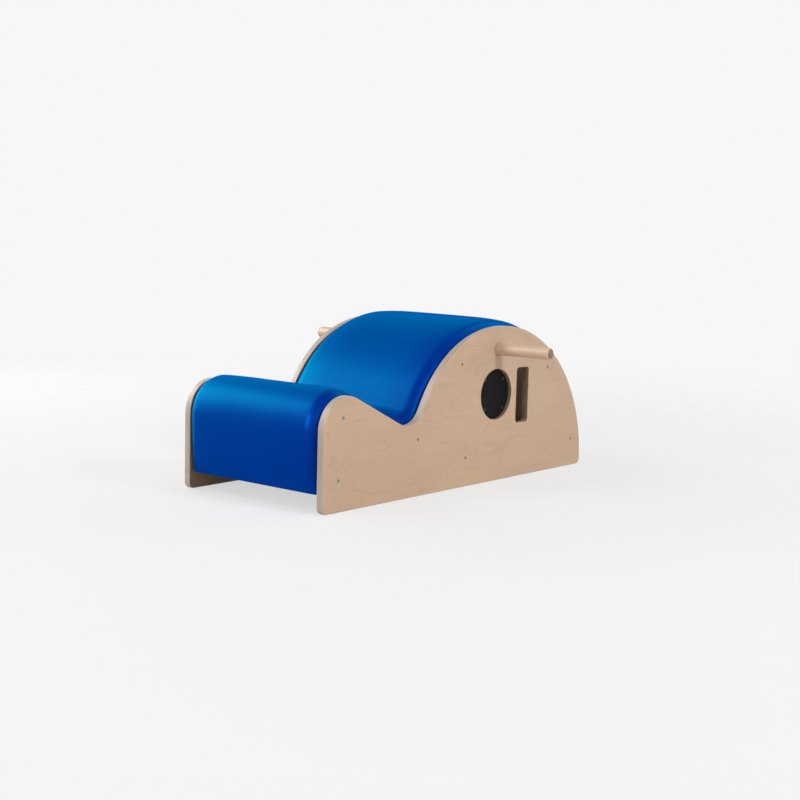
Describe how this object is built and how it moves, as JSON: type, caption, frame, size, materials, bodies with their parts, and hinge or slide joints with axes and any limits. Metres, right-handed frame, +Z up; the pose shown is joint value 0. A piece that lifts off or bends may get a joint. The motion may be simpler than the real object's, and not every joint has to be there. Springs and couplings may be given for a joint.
{
  "type": "pilates spine corrector",
  "caption": "Low padded seat, valley and tall half barrel in one curve between plywood side panels, with a push-through grip bar and hand slots.",
  "frame": {"origin": "on the floor, centred under the whole object", "axes": "+X along the length from the low seat end to the barrel end, +Y across towards the right panel, +Z up"},
  "size_m": [0.999, 0.73, 0.3894],
  "materials": {
    "panel_ply": "satin lacquered birch plywood",
    "rail_wood": "planed pale hardwood",
    "deck_ply": "unfinished bending plywood",
    "foam": "closed-cell foam",
    "vinyl": "smooth satin blue vinyl upholstery",
    "staple_wire": "galvanised wire",
    "screw_steel": "dull zinc-plated steel",
    "black_disc": "satin black plastic",
    "black_screw": "black oxide",
    "bar_wood": "satin lacquered maple"
  },
  "bodies": {
    "body": {"side_panel_left": "panel_ply", "side_panel_right": "panel_ply", "rail_apron": "rail_wood", "rail_seat": "rail_wood", "rail_valley": "rail_wood", "rail_base": "rail_wood", "rail_barrel_front": "rail_wood", "rail_barrel_back": "rail_wood", "rail_back": "rail_wood", "seat_deck": "deck_ply", "barrel_deck": "deck_ply", "seat_foam": "foam", "barrel_foam": "foam", "vinyl_cover": "vinyl", "cover_staples": "staple_wire", "deck_screws": "screw_steel", "panel_screws_left": "screw_steel", "panel_screws_right": "screw_steel", "recess_disc_left": "black_disc", "recess_disc_right": "black_disc", "disc_screws_left": "black_screw", "disc_screws_right": "black_screw"},
    "bar": {"grip_bar": "bar_wood"}
  },
  "joints": [
    {"name": "bar_slide", "type": "slide", "parent": "body", "child": "bar", "axis": [0, 1, 0], "range_m": [-0.165, 0.165]}
  ]
}
